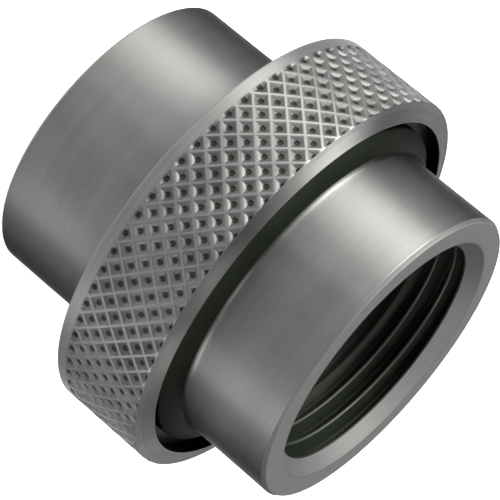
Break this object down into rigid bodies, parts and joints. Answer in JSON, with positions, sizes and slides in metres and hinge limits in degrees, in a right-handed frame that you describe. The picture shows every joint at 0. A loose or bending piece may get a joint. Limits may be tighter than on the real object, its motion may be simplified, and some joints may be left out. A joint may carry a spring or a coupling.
{
  "type": "pipe union",
  "caption": "Threaded pipe union: flanged tail body, knurled hand coupling nut, threaded front body and O-ring face seal.",
  "frame": {"origin": "centre of the tail body's end face, the lowest point of the union standing on its tail", "axes": "+Z along the pipe axis, from the tail body's end face towards the front body's threaded mouth"},
  "size_m": [0.052, 0.052, 0.043],
  "materials": {
    "body_steel": "fine turned satin steel",
    "nut_steel": "satin steel, knurled round the middle",
    "seal_rubber": "matt black nitrile rubber"
  },
  "bodies": {
    "tail": {"tail_body": "body_steel", "seal_ring": "seal_rubber"},
    "nut": {"coupling_nut": "nut_steel"},
    "front": {"threaded_body": "body_steel"}
  },
  "joints": [
    {"name": "nut_unscrew", "type": "hinge", "parent": "tail", "child": "nut", "pos_m": [0, 0, 0.0185], "axis": [0, 0, -1], "range_deg": [0, 720]},
    {"name": "front_lift", "type": "slide", "parent": "tail", "child": "front", "axis": [0, 0, 1], "range_m": [0, 0.004]}
  ],
  "couplings": [
    {"joint": "nut_unscrew", "follows": "front_lift", "rad_per_m": 3141.6}
  ]
}
